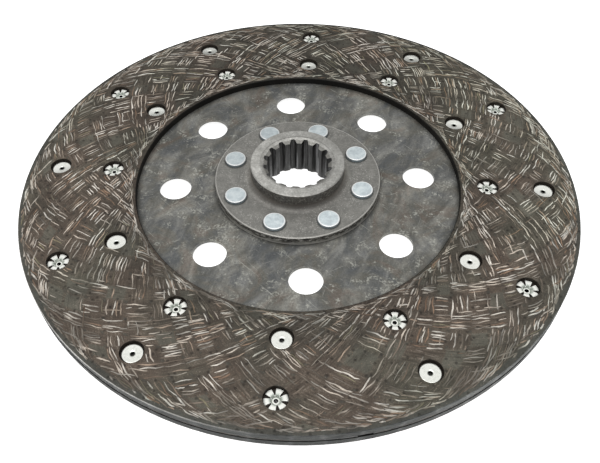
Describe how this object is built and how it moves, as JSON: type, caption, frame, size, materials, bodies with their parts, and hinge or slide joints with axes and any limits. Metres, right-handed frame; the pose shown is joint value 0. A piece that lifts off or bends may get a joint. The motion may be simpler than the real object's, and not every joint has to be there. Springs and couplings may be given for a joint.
{
  "type": "clutch disc",
  "caption": "Rigid clutch driven disc: two riveted friction linings on a drilled steel disc, with a flanged splined hub.",
  "frame": {"origin": "on the hub's axis, at the middle of the carrier disc's thickness", "axes": "+Z along the hub's axis towards its long collar; one lightening hole lies on +Y and one on +X"},
  "size_m": [0.28, 0.28, 0.022],
  "materials": {
    "friction_lining": "ground face of a resin-bonded, scramble-wound yarn lining, with pale glass and copper flecks",
    "carrier_steel": "dark hot-rolled sheet, mottled and stained",
    "hub_steel": "forged flange, satin grey-brown, with a turned collar face",
    "hub_rivet_zinc": "zinc-plated steel, pale bluish white",
    "lining_rivet_metal": "bright drawn tubular rivet, satin"
  },
  "bodies": {
    "root": {"front_lining": "friction_lining", "rear_lining": "friction_lining", "carrier_disc": "carrier_steel", "hub": "hub_steel", "hub_rivet_1": "hub_rivet_zinc", "hub_rivet_2": "hub_rivet_zinc", "hub_rivet_3": "hub_rivet_zinc", "hub_rivet_4": "hub_rivet_zinc", "hub_rivet_5": "hub_rivet_zinc", "hub_rivet_6": "hub_rivet_zinc", "hub_rivet_7": "hub_rivet_zinc", "hub_rivet_8": "hub_rivet_zinc", "lining_rivet_outer_1": "lining_rivet_metal", "lining_rivet_outer_2": "lining_rivet_metal", "lining_rivet_outer_3": "lining_rivet_metal", "lining_rivet_outer_4": "lining_rivet_metal", "lining_rivet_outer_5": "lining_rivet_metal", "lining_rivet_outer_6": "lining_rivet_metal", "lining_rivet_outer_7": "lining_rivet_metal", "lining_rivet_outer_8": "lining_rivet_metal", "lining_rivet_outer_9": "lining_rivet_metal", "lining_rivet_outer_10": "lining_rivet_metal", "lining_rivet_outer_11": "lining_rivet_metal", "lining_rivet_outer_12": "lining_rivet_metal", "lining_rivet_inner_1": "lining_rivet_metal", "lining_rivet_inner_2": "lining_rivet_metal", "lining_rivet_inner_3": "lining_rivet_metal", "lining_rivet_inner_4": "lining_rivet_metal", "lining_rivet_inner_5": "lining_rivet_metal", "lining_rivet_inner_6": "lining_rivet_metal", "lining_rivet_inner_7": "lining_rivet_metal", "lining_rivet_inner_8": "lining_rivet_metal", "lining_rivet_inner_9": "lining_rivet_metal", "lining_rivet_inner_10": "lining_rivet_metal", "lining_rivet_inner_11": "lining_rivet_metal", "lining_rivet_inner_12": "lining_rivet_metal"}
  },
  "joints": []
}
